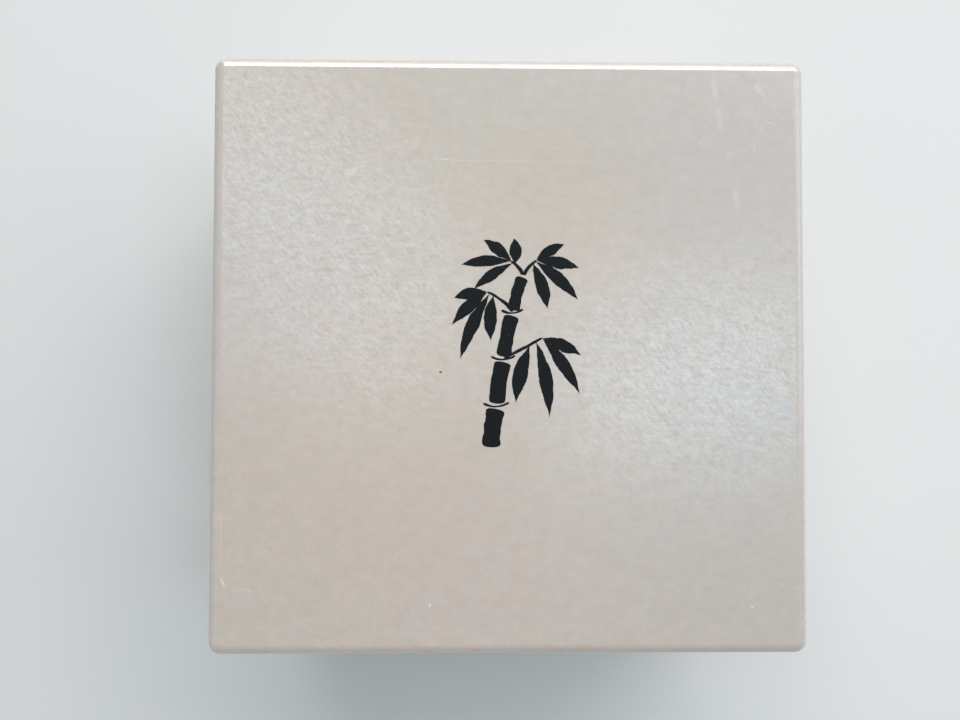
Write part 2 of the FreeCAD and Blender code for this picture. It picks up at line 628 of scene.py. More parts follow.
    def _worn(self, graph: BoardGraph, colour: Socket) -> tuple[Socket | float, Socket]:
        """Lays the marks of wear over the colour.

        Args:
            graph: The board's nodes.
            colour: The colour before wear.

        Returns:
            The mask of all marks, and the colour with them.
        """
        scuff: Socket | float = 0.0
        crumble = graph.noise(graph.place, CRUMBLE_SIZE)
        for mark in self.wear:
            size = (mark.length / 2, mark.width / 2, 1.0)
            soft = graph.spot(graph.place, (mark.x, mark.y, TOP_HEIGHT / MM), size, mark.turn)
            broken = graph.math("MULTIPLY_ADD", crumble, CRUMBLE_STRENGTH, soft)
            broken = graph.step(broken, low=0.45, high=0.95)
            mask = graph.math("MULTIPLY", broken, graph.step(soft, low=0.0, high=0.25))
            mask = graph.math("MULTIPLY", mask, mark.strength)
            colour = graph.mix(mask, colour, mark.tone.value)
            scuff = graph.math("MAXIMUM", scuff, mask)
        return scuff, colour

    def _rubbed(self, graph: BoardGraph) -> Socket:
        """The fine marks of rubbing down, which lie three ways, as a value about zero."""
        marks = [(graph.noise(graph.along, size, turn=turn), strength) for size, turn, strength in RUBBING]
        return graph.total(*marks)

    def _sheen(self, graph: BoardGraph, rubbed: Socket) -> Socket | float:
        """The specular level, broken up by rubbing, and more so to the left where it leans.

        Args:
            graph: The board's nodes.
            rubbed: The marks of rubbing down.

        Returns:
            The level, which is one number where the finish isn't rubbed.
        """
        if self.sheen_spread <= 0:
            return self.specular
        leftward = graph.math("MULTIPLY", graph.parts(graph.place)["X"], -1.0)
        lean = graph.step(leftward, *self.lean_span)
        spread = graph.math("MULTIPLY_ADD", lean, self.sheen_lean, self.sheen_spread)
        return graph.math("MAXIMUM", graph.math("MULTIPLY_ADD", rubbed, spread, self.specular), LEAST_SHEEN)


@dataclass(frozen=True)
class InkFinish:
    """Black brush ink that has dried hard on the lacquer."""

    body: Colour = (0.0065, 0.0075, 0.0080)
    worn: Colour = (0.055, 0.058, 0.060)
    bristle_size: tuple[float, float, float] = (1.1, 0.5, 1.0)
    worn_size: tuple[float, float, float] = (0.55, 0.45, 1.0)
    roughness: float = 0.4
    roughness_spread: float = 0.2
    relief_mm: float = 0.006
    specular: float = 0.10

    def material(self, name: str) -> bpy.types.Material:
        """The ink's material, with faint strokes in it and a few rubbed spots.

        Args:
            name: The material's name.

        Returns:
            The material.
        """
        graph = NodeGraph(bpy.data.materials.new(name))
        place = graph.object_mm()
        bristles = graph.noise(place, self.bristle_size, detail=3.0)
        rubbed = graph.step(graph.noise(place, self.worn_size), low=0.66, high=0.80)
        inputs = {
            "Base Color": graph.mix(rubbed, self.body, self.worn),
            "Roughness": graph.math("MULTIPLY_ADD", bristles, self.roughness_spread, self.roughness),
            "Normal": graph.relief(bristles, self.relief_mm),
            "Specular IOR Level": self.specular,
        }
        return graph.show(graph.add("ShaderNodeBsdfPrincipled", inputs))


def near(value: float, target: float) -> bool:
    """Whether two lengths are the same."""
    return abs(value - target) < TOLERANCE


def solid_block(low: Vector, high: Vector) -> bmesh.types.BMesh:
    """A block between two corners.

    Args:
        low: The lowest corner.
        high: The highest corner.

    Returns:
        The block.
    """
    mesh = bmesh.new()
    bmesh.ops.create_cube(mesh, size=1.0)
    bmesh.ops.scale(mesh, vec=high - low, verts=mesh.verts)
    bmesh.ops.translate(mesh, vec=(high + low) / 2, verts=mesh.verts)
    return mesh


def edges_where(mesh: bmesh.types.BMesh, test: Callable[[Vector], bool]) -> list[bmesh.types.BMEdge]:
    """The edges whose two ends both pass a test of their place."""
    return [edge for edge in mesh.edges if all(test(vert.co) for vert in edge.verts)]


def upright_edges(mesh: bmesh.types.BMesh) -> list[bmesh.types.BMEdge]:
    """The edges that stand upright."""
    return [edge for edge in mesh.edges if near((edge.verts[0].co - edge.verts[1].co).xy.length, 0.0)]


def round_edges(mesh: bmesh.types.BMesh, edges: list[bmesh.types.BMEdge], radius: float,
                segments: int) -> None:
    """Rounds edges, or leaves them sharp where the radius is zero.

    Args:
        mesh: The solid.
        edges: Its edges to round.
        radius: The rounding's radius.
        segments: The number of faces across it. One makes a chamfer.
    """
    if radius <= 0 or not edges:
        return
    bmesh.ops.bevel(mesh, geom=edges, offset=radius, offset_type="OFFSET", segments=segments, profile=0.5,
                    affect="EDGES", clamp_overlap=True, material=-1)


def cut_away(mesh: bmesh.types.BMesh, point: Vector, normal: Vector) -> None:
    """Saws off what lies beyond a plane, and closes the cut.

    Args:
        mesh: The solid.
        point: A point on the plane.
        normal: The way to the part that falls off.
    """
    geometry = [*mesh.verts, *mesh.edges, *mesh.faces]
    cut = bmesh.ops.bisect_plane(mesh, geom=geometry, dist=TOLERANCE / 10, plane_co=point, plane_no=normal,
                                 clear_outer=True)["geom_cut"]
    rim = [edge for edge in cut if isinstance(edge, bmesh.types.BMEdge)]
    bmesh.ops.edgeloop_fill(mesh, edges=rim)
    mesh.normal_update()


def face_towards(mesh: bmesh.types.BMesh, normal: Vector, point: Vector) -> bmesh.types.BMFace:
    """The face that looks one way and whose middle is nearest to a point."""
    facing = [face for face in mesh.faces if face.normal.dot(normal) > STRAIGHT]
    return min(facing, key=lambda face: (face.calc_center_median() - point).length)


def sink_panel(mesh: bmesh.types.BMesh, normal: Vector, middle: Vector, spans: Iterable[tuple[Vector, float]],
               depth: float) -> bmesh.types.BMFace:
    """Sinks a rectangle of a flat face into the solid, or raises it where the depth is negative.

    Args:
        mesh: The solid.
        normal: The way that the face looks.
        middle: The rectangle's middle, on the face.
        spans: The rectangle's directions, each with half its length.
        depth: How deep it goes.

    Returns:
        The face at the bottom.
    """
    for direction, half in spans:
        for side in (-1, 1):
            face = face_towards(mesh, normal, middle)
            bmesh.ops.bisect_plane(mesh, geom=[face, *face.edges, *face.verts], dist=TOLERANCE / 10,
                                   plane_co=middle + direction * half * side, plane_no=direction)
            mesh.normal_update()
    face = face_towards(mesh, normal, middle)
    bottom = bmesh.ops.extrude_discrete_faces(mesh, faces=[face])["faces"][0]
    bmesh.ops.translate(mesh, vec=-normal * depth, verts=bottom.verts)
    mesh.normal_update()
    return bottom


def ease_sharp_edges(mesh: bmesh.types.BMesh, width: float) -> None:
    """Takes the sharpness off every outward edge, as a stroke of fine abrasive paper does.

    Args:
        mesh: The solid.
        width: How wide the eased edges are.
    """
    edges = [edge for edge in mesh.edges if edge.is_convex and edge.calc_face_angle(0.0) > EASED_ANGLE]
    round_edges(mesh, edges, width, EASED_SEGMENTS)


def in_scene(name: str, data: bpy.types.ID) -> bpy.types.Object:
    """Makes an object and links it to the scene.

    Args:
        name: The object's name.
        data: Its mesh, lamp or camera.

    Returns:
        The object.
    """
    made = bpy.data.objects.new(name, data)
    bpy.context.scene.collection.objects.link(made)
    return made


def as_object(mesh: bmesh.types.BMesh, name: str, turn: Matrix | None = None) -> bpy.types.Object:
    """Makes an object at the origin from a finished mesh.

    Args:
        mesh: The mesh, which is used up.
        name: The object's name.
        turn: A rotation that goes into the mesh.

    Returns:
        The object, smoothly shaded between its sharp edges.
    """
    if turn is not None:
        mesh.transform(turn)
    bmesh.ops.recalc_face_normals(mesh, faces=mesh.faces)
    data = bpy.data.meshes.new(name)
    mesh.to_mesh(data)
    mesh.free()
    data.shade_smooth()
    data.set_sharp_from_angle(angle=SHARP_ANGLE)
    piece = in_scene(name, data)
    even = piece.modifiers.new("even_shading", "WEIGHTED_NORMAL")
    even.keep_sharp = True
    even.weight = 100
    return piece


def settle(piece: bpy.types.Object, body: str, slot: str, *nodes: str) -> bpy.types.Object:
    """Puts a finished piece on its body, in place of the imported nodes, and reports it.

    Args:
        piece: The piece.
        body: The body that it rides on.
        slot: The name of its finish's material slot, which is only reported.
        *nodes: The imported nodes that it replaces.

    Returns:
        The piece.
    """
    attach(piece, body)
    if nodes:
        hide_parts(*nodes)
    log.info("%s on %s: %d faces, finish %s", piece.name, body, len(piece.data.polygons), slot)
    return piece


@dataclass(frozen=True)
class Groove:
    """A groove that runs the length of a board's inner face."""

    low: float
    high: float
    depth: float


@dataclass(frozen=True)
class Slot:
    """A slot for a loose tongue in a mitre, measured out from the box's axis towards the corner."""

    near: float
    far: float
    low: float
    high: float
    depth: float

    @classmethod
    def round_tongue(cls, tongue: bpy.types.Object, clearance: float) -> "Slot":
        """The slot that a packed tongue of the front right corner sits in.

        Args:
            tongue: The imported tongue.
            clearance: The room at its ends and sides.

        Returns:
            The slot.
        """
        outwards, across = Vector((1, -1, 0)).normalized(), Vector((1, 1, 0)).normalized()
        out = [vert.co.dot(outwards) for vert in tongue.data.vertices]
        side = [vert.co.dot(across) for vert in tongue.data.vertices]
        up = [vert.co.z for vert in tongue.data.vertices]
        return cls(min(out), max(out), min(up) - clearance, max(up) + clearance, max(side) + clearance)


@dataclass(frozen=True)
class MitredBoard:
    """One of four like boards that meet in mitres round the box, described as the front one."""

    half_side: float
    thickness: float
    low: float
    high: float
    corner_radius: float
    outer_top_radius: float = 0.0
    outer_foot_radius: float = 0.0
    inner_top_radius: float = 0.0
    inner_foot_radius: float = 0.0
    eased: float = 0.08 * MM
    inside_margin: float = 1.0 * MM
    groove: Groove | None = None
    slot: Slot | None = None

    @classmethod
    def within(cls, box: tuple[Vector, Vector], **shape: object) -> "MitredBoard":
        """The board that fills a packed front board's box, with the rest of its shape as given."""
        low, high = box
        return cls(half_side=-low.y, thickness=high.y - low.y, low=low.z, high=high.z, **shape)

    @property
    def inner(self) -> float:
        """Where the front board's inner face lies along Y."""
        return self.thickness - self.half_side

    def build(self) -> bmesh.types.BMesh:
        """Makes the front board.

        Returns:
            A closed solid, with its inside faces in the second material's place.
        """
        mesh = self._rounded_block()
        cut_away(mesh, Vector((0, self.inner, 0)), BACKWARD)
        if self.groove:
            middle = Vector((0, self.inner, (self.groove.low + self.groove.high) / 2))
            height = UPWARD, (self.groove.high - self.groove.low) / 2
            sink_panel(mesh, BACKWARD, middle, [height], self.groove.depth)
        for level, radius in ((self.high, self.inner_top_radius), (self.low, self.inner_foot_radius)):
            rim = edges_where(mesh, lambda co: near(co.z, level) and near(co.y, self.inner))
            round_edges(mesh, rim, radius, RIM_SEGMENTS)
        for side in (-1, 1):
            cut_away(mesh, Vector((0, 0, 0)), Vector((side, 1, 0)).normalized())
        ease_sharp_edges(mesh, self.eased)
        for vert in mesh.verts:
            vert.co.z = min(max(vert.co.z, self.low), self.high)
        if self.slot:
            self._cut_slots(mesh, self.slot)
        self._mark_inside(mesh)
        return mesh

    def _rounded_block(self) -> bmesh.types.BMesh:
        """Makes the whole square block that the four boards share.

        Returns:
            The block with its outer edges rounded.
        """
        half = self.half_side
        mesh = solid_block(Vector((-half, -half, self.low)), Vector((half, half, self.high)))
        round_edges(mesh, upright_edges(mesh), self.corner_radius, CORNER_SEGMENTS)
        for level, radius in ((self.high, self.outer_top_radius), (self.low, self.outer_foot_radius)):
            round_edges(mesh, edges_where(mesh, lambda co: near(co.z, level)), radius, RIM_SEGMENTS)
        return mesh

    def _cut_slots(self, mesh: bmesh.types.BMesh, slot: Slot) -> None:
        """Cuts the half of each tongue's slot that is in this board.

        Args:
            mesh: The board.
            slot: The slot of the front right corner.
        """
        for side in (-1, 1):
            outwards = Vector((side, -1, 0)).normalized()
            normal = Vector((side, 1, 0)).normalized()
            middle = outwards * (slot.near + slot.far) / 2 + Vector((0, 0, (slot.low + slot.high) / 2))
            spans = [(outwards, (slot.far - slot.near) / 2), (UPWARD, (slot.high - slot.low) / 2)]
            sink_panel(mesh, normal, middle, spans, slot.depth)

    def _mark_inside(self, mesh: bmesh.types.BMesh) -> None:
        """Gives the faces that look into the box the second material.

        Args:
            mesh: The board.
        """
        bmesh.ops.recalc_face_normals(mesh, faces=mesh.faces)
        for face in mesh.faces:
            height = face.calc_center_median().z
            within = self.low + self.inside_margin < height < self.high - self.inside_margin
            if face.normal.y > SLANT or (face.normal.y > -SLANT and within):
                face.material_index = 1


WALL_CUTS = {
    Side.FRONT: BoardCut(Grain.ALONG_X, (-22.0, -64.0), (13.0, 0.0, 7.0)),
    Side.RIGHT: BoardCut(Grain.ALONG_Y, (-101.0, 33.0), (-71.0, 0.0, 19.0)),
    Side.BACK: BoardCut(Grain.ALONG_X, (14.0, 148.0), (217.0, 0.0, -12.0)),
    Side.LEFT: BoardCut(Grain.ALONG_Y, (96.0, 60.0), (-305.0, 0.0, 4.0)),
}
FLOOR_CUT = BoardCut(Grain.ALONG_Y, (14.0, 96.0), (401.0, 22.0, 0.0))
TOP_CUT = BoardCut(Grain.ALONG_X, (9.0, -36.0))
TONGUE_CUT = BoardCut(Grain.ALONG_X, (40.0, 10.0))


def wall_material(kind: str, finish: WoodFinish, side: Side) -> bpy.types.Material:
    """A finish that the base's and the lid's wall on one side share, made the first time it is asked for."""
    name = f"wall_{kind}_{side.label}"
    return bpy.data.materials.get(name) or finish.material(name, WALL_CUTS[side])


@dataclass
class Walls:
    """Four mitred walls of the base or the lid, and the tongues in their mitres."""

    body: str
    outside: WoodFinish
    inside: WoodFinish
    corner_radius: float = CORNER_RADIUS
    outer_top_radius: float = 0.0
    outer_foot_radius: float = 0.0
    inner_foot_radius: float = 0.0
    tongue_clearance: float = 0.1 * MM
    groove: Groove | None = None

    def build(self, nodes: dict[str, bpy.types.Object]) -> list[bpy.types.Object]:
        """Builds and dresses the four walls.

        Args:
            nodes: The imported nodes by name.

        Returns:
            The four pieces.
        """
        shape = MitredBoard.within(
            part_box(f"{self.body}_front_wall"),
            corner_radius=self.corner_radius,
            outer_top_radius=self.outer_top_radius,
            outer_foot_radius=self.outer_foot_radius,
            inner_foot_radius=self.inner_foot_radius,
            groove=self.groove,
            slot=Slot.round_tongue(nodes[f"{self.body}_front_right_tongue"], self.tongue_clearance),
        )
        return [self._wall(shape, side) for side in Side]

    def _wall(self, shape: MitredBoard, side: Side) -> bpy.types.Object:
        """Makes one wall, turned to its side and dressed.

        Args:
            shape: The front wall's shape.
            side: The wall's side.

        Returns:
            The piece.
        """
        piece = as_object(shape.build(), f"{self.body}_board_{side.label}", side.turn)
        for kind, finish in (("lacquered", self.outside), ("bare", self.inside)):
            piece.data.materials.append(wall_material(kind, finish, side))
        return settle(piece, self.body, "wall_wood", f"{self.body}_{side.label}_wall")


@dataclass
class Lining:
    """Four thin strips that stand inside the base walls and guide the lid."""

    finish: WoodFinish
    corner_radius: float = 0.8 * MM
    lead_radius: float = 1.2 * MM
    inner_radius: float = 0.6 * MM

    def build(self) -> list[bpy.types.Object]:
        """Builds and dresses the four strips.

        Returns:
            The four pieces.
        """
        shape = MitredBoard.within(
            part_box("lining_front"),
            corner_radius=self.corner_radius,
            outer_top_radius=self.lead_radius,
            inner_top_radius=self.inner_radius,
        )
        return [self._strip(shape, side) for side in Side]

    def _strip(self, shape: MitredBoard, side: Side) -> bpy.types.Object:
        """Makes one strip, turned to its side, with the same bare wood outside and inside.

        Args:
            shape: The front strip's shape.
            side: The strip's side.

        Returns:
            The piece.
        """
        piece = as_object(shape.build(), f"lining_strip_{side.label}", side.turn)
        material = self.finish.material(f"lining_bare_{side.label}", WALL_CUTS[side].next_board())
        piece.data.materials.append(material)
        piece.data.materials.append(material)
        return settle(piece, "base", "lining_wood", f"lining_{side.label}")


@dataclass
class Floor:
    """The floor panel, loose in the walls' groove."""

    finish: WoodFinish
    eased: float = 0.3 * MM

    def build(self) -> bpy.types.Object:
        """Builds and dresses the floor.

        Returns:
            The piece.
        """
        mesh = solid_block(*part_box("floor_panel"))
        ease_sharp_edges(mesh, self.eased)
        piece = as_object(mesh, "floor_board")
        piece.data.materials.append(self.finish.material("floor_bare", FLOOR_CUT))
        return settle(piece, "base", "floor_wood", "floor_panel")


@dataclass
class Top:
    """The lid's top, one board that lies over the walls and drops between them with a shallow spigot."""

    outside: WoodFinish
    inside: WoodFinish
    wall_top: float
    spigot_half: float
    corner_radius: float = CORNER_RADIUS
    edge_radius: float = 2.4 * MM
    spigot_chamfer: float = 0.4 * MM
    eased: float = 0.06 * MM

    def build(self) -> bpy.types.Object:
        """Builds and dresses the top.

        Returns:
            The piece.
        """
        low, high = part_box("lid_top_panel")
        mesh = solid_block(Vector((low.x, low.y, self.wall_top)), high)
        round_edges(mesh, upright_edges(mesh), self.corner_radius, CORNER_SEGMENTS)
        rim = edges_where(mesh, lambda co: near(co.z, high.z))
        round_edges(mesh, rim, self.edge_radius, CORNER_SEGMENTS)
        ease_sharp_edges(mesh, self.eased)
        self._raise_spigot(mesh, self.wall_top - low.z)
        for face in mesh.faces:
            if face.normal.z < -SLANT or face.calc_center_median().z < self.wall_top:
                face.material_index = 1
        piece = as_object(mesh, "lid_top_board")
        piece.data.materials.append(self.outside.material("top_lacquered", TOP_CUT))
        piece.data.materials.append(self.inside.material("top_bare", TOP_CUT))
        return settle(piece, "lid", "top_wood", "lid_top_panel")

    def _raise_spigot(self, mesh: bmesh.types.BMesh, depth: float) -> None:
        """Draws the spigot down out of the underside.

        Args:
            mesh: The top.
            depth: How far down it reaches.
        """
        spans = [(Vector((1, 0, 0)), self.spigot_half), (BACKWARD, self.spigot_half)]
        bottom = sink_panel(mesh, -UPWARD, UPWARD * self.wall_top, spans, -depth)
        round_edges(mesh, list(bottom.edges), self.spigot_chamfer, segments=1)
        mesh.normal_update()


def blunted(from_middle: float, power: int) -> float:
    """The width of a stroke with rounded ends, 1 in its middle. A higher power makes the ends blunter."""
    return math.sqrt(max(0.0, 1 - from_middle ** power))


@dataclass(frozen=True)
class Stroke:
    """One pull of the brush, in millimetres from the motif's middle.

    The line runs from start to end, and is drawn aside towards bend.
    """

    kind: Pull
    start: Point
    bend: Point
    end: Point
    width: float

    def line(self, share: float) -> tuple[Vector, Vector]:
        """Follows the stroke's middle.

        Args:
            share: The share of the way along.

        Returns:
            The point there, and the direction to its left.
        """
        start, bend, end = Vector(self.start), Vector(self.bend), Vector(self.end)
        point = start * (1 - share) ** 2 + bend * 2 * share * (1 - share) + end * share ** 2
        way = (bend - start) * (1 - share) + (end - bend) * share
        return point, Vector((-way.y, way.x)).normalized()

    def half_width(self, share: float) -> float:
        """Half the stroke's width.

        Args:
            share: The share of the way along.

        Returns:
            The half width there.
        """
        half = self.width / 2
        from_middle = abs(2 * share - 1)
        if self.kind is Pull.LEAF:
            swell = share ** LEAF_ROOT_POWER * (1 - share) ** LEAF_TIP_POWER / LEAF_PEAK
            return half * swell
        if self.kind is Pull.STEM:
            return half * (0.84 + 0.16 * from_middle ** 4) * blunted(from_middle, BLUNT_POWER)
        if self.kind is Pull.JOINT:
            return half * (0.45 + 0.55 * from_middle ** 2) * blunted(from_middle, JOINT_BLUNT_POWER)
        return half * (1 - 0.35 * share) * blunted(from_middle, BLUNT_POWER)

    def outline(self, turn: float, seed: float) -> Vector:
        """The ragged outline's point at an angle round the stroke.

        Args:
            turn: The angle, 0 at the end and half a turn at the start.
            seed: Sets the raggedness apart from other strokes'.

        Returns:
            The point, in millimetres from the motif's middle.
        """
        share = (1 + math.cos(turn)) / 2
        side = 1 if math.sin(turn) >= 0 else -1
        point, left = self.line(share)
        half = self.half_width(share)
        at = Vector((point.x, point.y, seed + SIDE_SEED * side))
        ragged = sum(depth * noise.noise(at * pace) for depth, pace in RAGGEDNESS)
        fade = min(1.0, half / RAGGED_FROM_HALF_WIDTH)
        return point + left * side * (half + ragged * fade)


@dataclass(frozen=True)
class Stem:
    """The bamboo's stem from the ground up, in millimetres from the motif's middle."""

    knots: tuple[Point, ...] = ((-4.9, -21.2), (-3.8, -12.5), (-2.4, -3.1), (-0.6, 6.2), (1.6, 13.9))
    widths: tuple[float, ...] = (4.1, 3.8, 3.4, 2.8)
    gap: float = 0.52
    bow: float = 0.28
    joint_reach: float = 0.64
    joint_width: float = 0.75

    def strokes(self) -> list[Stroke]:
        """Draws the stem's lengths with a gap between them, and the hooked mark at each joint.

        Returns:
            The strokes in the order of the brush.
        """
        drawn = []
        for (foot, head), width in zip(zip(self.knots, self.knots[1:]), self.widths):
            low, high = Vector(foot), Vector(head)
            way = (high - low).normalized() * self.gap
            aside = Vector((-way.y, way.x)).normalized() * self.bow
            low, high = low + way, high - way
            drawn.append(Stroke(Pull.STEM, tuple(low), tuple((low + high) / 2 + aside), tuple(high), width))
        for (x, y), width in zip(self.knots[1:-1], self.widths):
            reach = width * self.joint_reach
            ends = (x - reach, y + 0.55), (x, y - 0.75), (x + reach, y + 0.75)
            drawn.append(Stroke(Pull.JOINT, *ends, self.joint_width))
        return drawn


@dataclass(frozen=True)
class Spray:
    """One twig with leaves that hang from its outer part, in millimetres from the motif's middle.

    The twig leaves the stem at start, is drawn aside towards bend and ends at end. width is the first leaf's
    at the belly. Each leaf has its share of the way along the twig, its direction in degrees and its length.
    """

    start: Point
    bend: Point
    end: Point
    width: float
    leaves: tuple[tuple[float, float, float], ...]
    twig_width: float = 0.75
    droop: float = 0.08
    dwindle: float = 0.06

    def strokes(self) -> list[Stroke]:
        """Draws the twig, then its leaves.

        Returns:
            The strokes in the order of the brush.
        """
        twig = Stroke(Pull.TWIG, self.start, self.bend, self.end, self.twig_width)
        drawn = [twig]
        for index, (share, direction, length) in enumerate(self.leaves):
            angle = math.radians(direction)
            way = Vector((math.cos(angle), math.sin(angle)))
            droop = Vector((way.y, -way.x)) * length * (self.droop if way.x > 0 else -self.droop)
            root = twig.line(share)[0]
            belly = root + way * length * 0.5 - droop
            width = self.width * (1.0 - self.dwindle * index)
            drawn.append(Stroke(Pull.LEAF, tuple(root), tuple(belly), tuple(root + way * length), width))
        return drawn


SPRAYS = (
    Spray((-2.2, -2.8), (1.0, -1.4), (5.4, 1.2), 2.9,
          ((0.72, -104, 12.0), (0.86, -80, 15.5), (1.0, -56, 13.5), (1.0, -24, 8.6))),
    Spray((-0.5, 6.5), (-2.4, 9.0), (-5.6, 10.4), 2.8,
          ((0.80, -93, 9.2), (0.92, -114, 14.5), (1.0, -137, 9.8), (1.0, -170, 6.8))),
    Spray((1.7, 13.8), (2.4, 15.4), (4.2, 16.8), 2.7,
          ((0.80, -72, 9.6), (0.95, -42, 11.6), (1.0, -10, 8.8), (1.0, 30, 6.6))),
    Spray((1.5, 13.9), (0.9, 15.6), (-0.9, 16.6), 2.5,
          ((0.75, 92, 5.2), (0.95, 142, 7.2), (1.0, -176, 10.0), (0.85, -146, 9.6))),
)


@dataclass
class InkSprig:
    """A sprig of bamboo in brush ink, a thin film of pulls that overlap on the lid's top."""

    finish: InkFinish
    stem: Stem = Stem()
    sprays: tuple[Spray, ...] = SPRAYS
    middle: Point = (1.0, 2.0)
    sunk: float = 0.05 * MM
    proud: float = 0.03 * MM
    overlap_step: float = 0.0006 * MM
    weld: float = 0.0001 * MM
    segments: int = 220

    def build(self) -> bpy.types.Object:
        """Builds and dresses the sprig.

        Returns:
            The piece.
        """
        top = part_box("lid_top_panel")[1].z
        strokes = self.stem.strokes() + [stroke for spray in self.sprays for stroke in spray.strokes()]
        mesh = bmesh.new()
        for index, stroke in enumerate(strokes):
            ring = bmesh.ops.create_circle(mesh, cap_ends=True, segments=self.segments, radius=1.0)["verts"]
            for vert in ring:
                spot = stroke.outline(math.atan2(vert.co.y, vert.co.x), STROKE_SEED * index)
                vert.co = ((spot.x + self.middle[0]) * MM, (spot.y + self.middle[1]) * MM, top - self.sunk)
            film = bmesh.ops.extrude_face_region(mesh, geom=[ring[0].link_faces[0]])["geom"]
            raised = [element for element in film if isinstance(element, bmesh.types.BMVert)]
            height = self.sunk + self.proud + self.overlap_step * index
            bmesh.ops.translate(mesh, vec=UPWARD * height, verts=raised)
        bmesh.ops.remove_doubles(mesh, verts=mesh.verts, dist=self.weld)
        piece = as_object(mesh, "ink_sprig")
        piece.data.materials.append(self.finish.material("brush_ink"))
        return settle(piece, "lid", "ink")


@dataclass
class Tongues:
    """The eight loose tongues in the mitres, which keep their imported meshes."""

    finish: WoodFinish

    def dress(self, nodes: dict[str, bpy.types.Object]) -> None:
        """Gives every tongue its wood.

        Args:
            nodes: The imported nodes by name.
        """
        material = self.finish.material("tongue_wood", TONGUE_CUT)
        for name in sorted(nodes):
            if name.endswith("_tongue"):
                for place in nodes[name].material_slots:
                    place.material = material
                log.info("%s keeps its packed mesh", name)


WINDOW_WHITE = (1.0, 0.98, 0.945)
LAMP_WHITE = (1.0, 0.985, 0.96)


@dataclass(frozen=True)
class Softbox:
    """A rectangular lamp that faces the box.

    A lamp that isn't mirrored lights the wood, and doesn't show in its lacquer.
    """

    name: str
    place: tuple[float, float, float]
    width: float
    height: float
    watts: float
    colour: Colour = (1.0, 1.0, 1.0)
    mirrored: bool = True

    def build(self, target: Vector) -> None:
        """Hangs the lamp at its place.

        Args:
            target: The point that it is turned to.
        """
        lamp = bpy.data.lights.new(self.name, "AREA")
        lamp.shape = "RECTANGLE"
        lamp.size, lamp.size_y = self.width, self.height
        lamp.energy = self.watts
        lamp.color = self.colour
        holder = in_scene(self.name, lamp)
        holder.location = self.place
        holder.rotation_euler = (target - Vector(self.place)).to_track_quat("-Z", "Y").to_euler()
        holder.visible_camera = False
        holder.visible_glossy = self.mirrored


